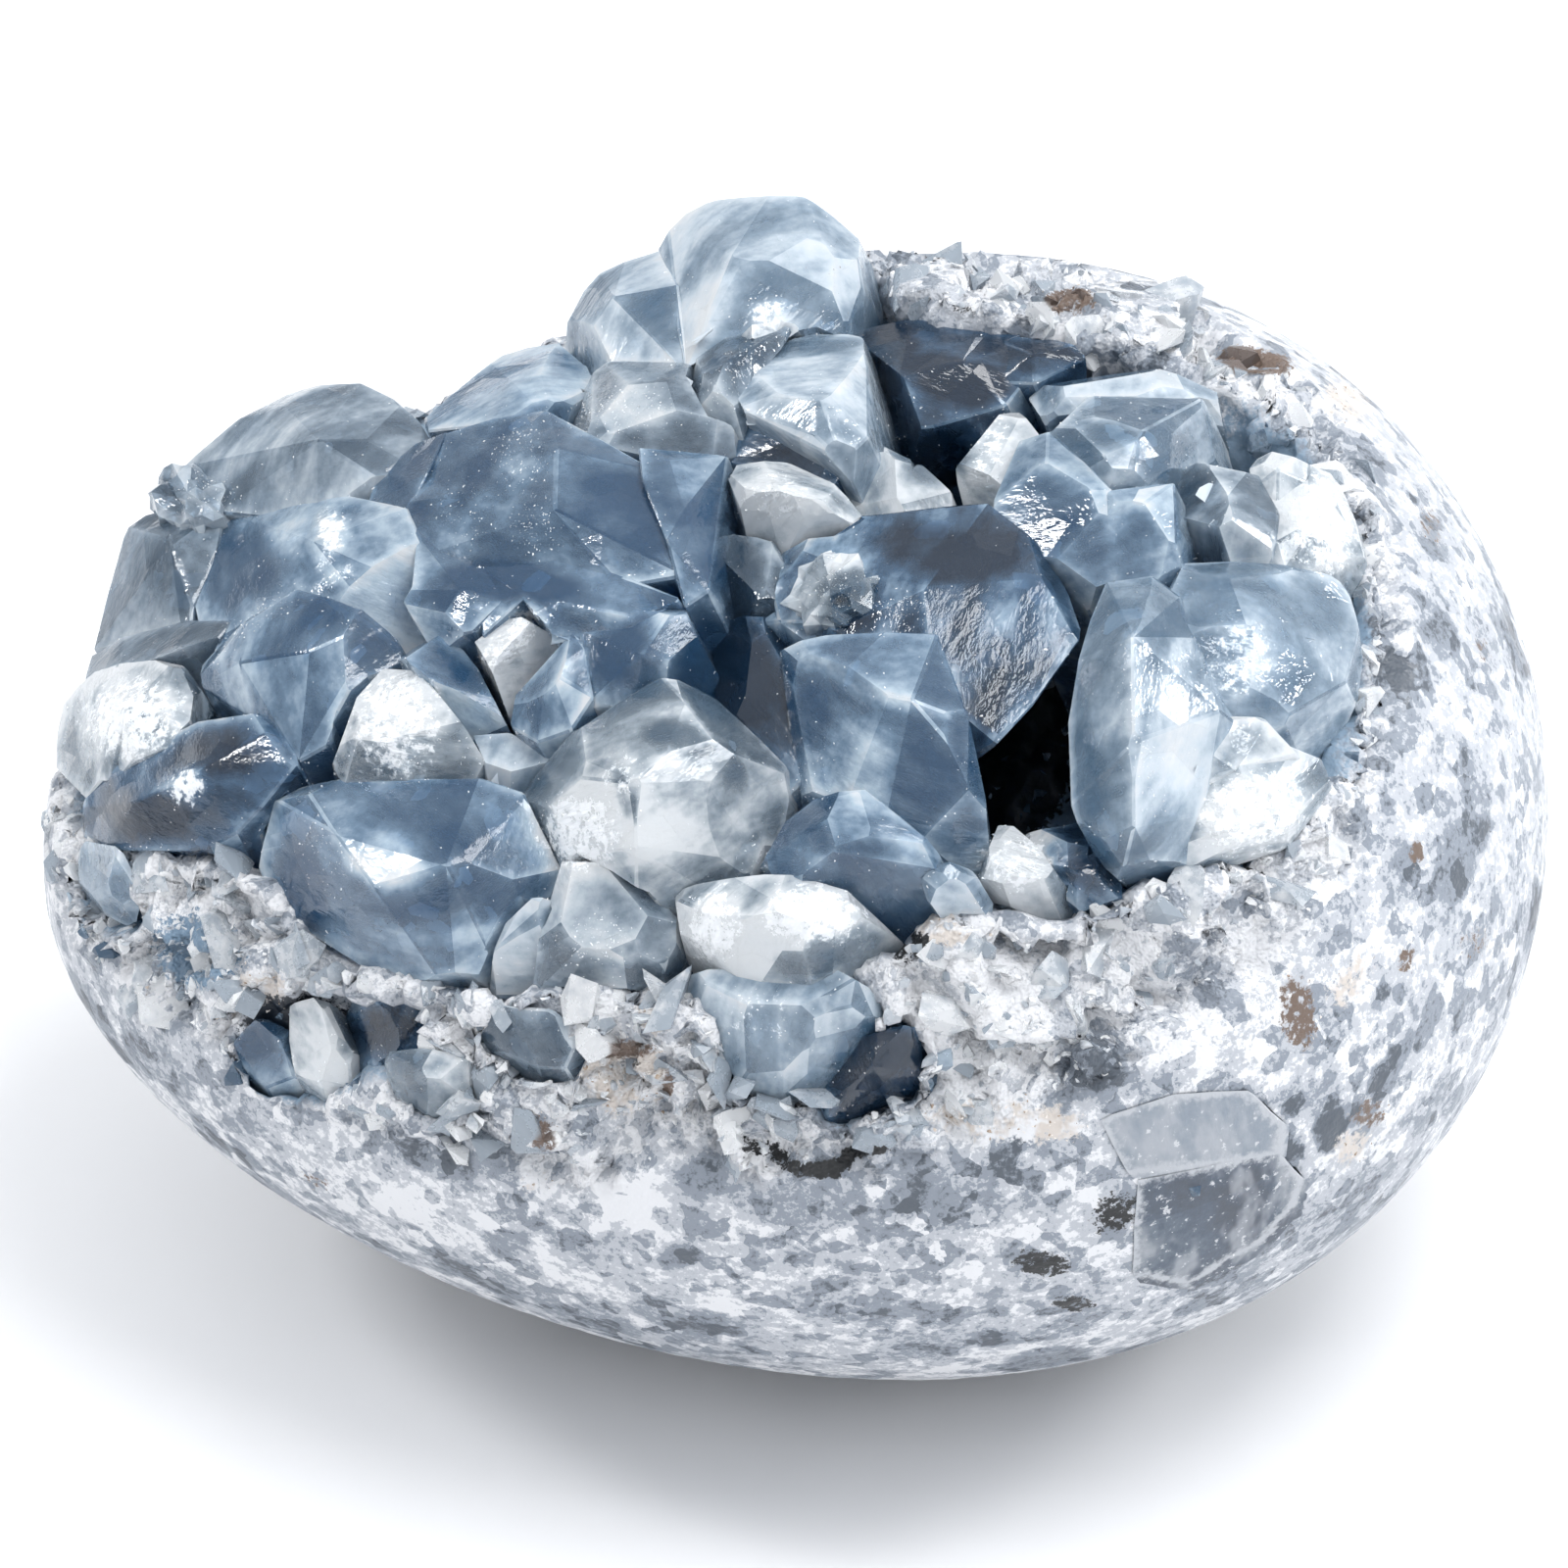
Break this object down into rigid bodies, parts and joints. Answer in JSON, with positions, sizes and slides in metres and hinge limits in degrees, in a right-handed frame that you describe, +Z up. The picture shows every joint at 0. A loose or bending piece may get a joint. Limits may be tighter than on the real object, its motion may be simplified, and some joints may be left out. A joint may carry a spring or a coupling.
{
  "type": "quartz geode with celestite",
  "caption": "Egg-shaped geode ground smooth outside, its open top filled with blue-grey celestite crystals, resting on a small flat ground on its underside.",
  "frame": {"origin": "middle of the box around the stone, at the level of the flat it rests on", "axes": "+X along the stone's length towards its blunt end, +Z up, the opening faces up and towards -X and -Y"},
  "size_m": [0.1226, 0.1028, 0.0862],
  "materials": {
    "celestite_blue": "clear to milky crystal, polished by nature",
    "celestite_pale": "milky pale blue crystal",
    "celestite_dark": "dark blue-grey crystal",
    "celestite_grey": "grey-blue crystal",
    "celestite_white": "white frosted crystal",
    "geode_rock": "ground smooth outside, broken around the mouth"
  },
  "bodies": {
    "root": {"block_left_rim": "celestite_pale", "crystal_front_blade": "celestite_pale", "crystal_front_dome": "celestite_blue", "crystal_front_grey": "celestite_grey", "crystal_front_shelf": "celestite_pale", "crystal_front_small": "celestite_pale", "crystal_front_frosted": "celestite_white", "crystal_low_wedge": "celestite_blue", "crystal_gem": "celestite_white", "crystal_right_long": "celestite_pale", "crystal_centre_front": "celestite_blue", "knob_left": "celestite_grey", "crystal_white_bright": "celestite_white", "crystal_small_blue": "celestite_blue", "crystal_mid_low": "celestite_pale", "crystal_pale_wedge": "celestite_white", "crystals_middle": "celestite_blue", "crystal_left_lower": "celestite_blue", "crystal_left_dark": "celestite_dark", "crystal_left_frosted": "celestite_white", "crystals_left_edge": "celestite_grey", "crystal_left_upper": "celestite_blue", "crystals_centre": "celestite_blue", "crystal_back_left": "celestite_grey", "crystal_white_clear": "celestite_white", "crystal_grey_middle": "celestite_grey", "knob_centre": "celestite_white", "crystal_arch": "celestite_dark", "crystal_dark_inner": "celestite_dark", "crystals_right_pair": "celestite_blue", "crystal_right_wedge": "celestite_pale", "crystal_pale_cyan": "celestite_pale", "crystal_behind_white": "celestite_dark", "crystal_grey_slanted": "celestite_grey", "crystal_flat_top": "celestite_grey", "chip_top": "celestite_white", "crystals_top_pair": "celestite_pale", "crystal_back_middle": "celestite_blue", "crystals_pocket_clear": "celestite_white", "crystal_pocket_right": "celestite_white", "crystals_back_dark": "celestite_dark", "crystals_right_lower": "celestite_white", "crystal_right_pale": "celestite_pale", "crystal_right_grey": "celestite_grey", "blocks_frosted_right": "celestite_white", "crystal_back_band": "celestite_pale", "crystals_below_hollow": "celestite_dark", "crystals_small_clear": "celestite_white", "crystal_front_embedded": "celestite_grey", "pocket_prism_white": "celestite_white", "pocket_crystal_blue": "celestite_blue", "pocket_crystals_dark": "celestite_dark", "block_white_front": "celestite_white", "pocket_crystal_black": "celestite_dark", "section_right_pale": "celestite_pale", "section_right_dark": "celestite_dark", "matrix_shell": "geode_rock"}
  },
  "joints": []
}
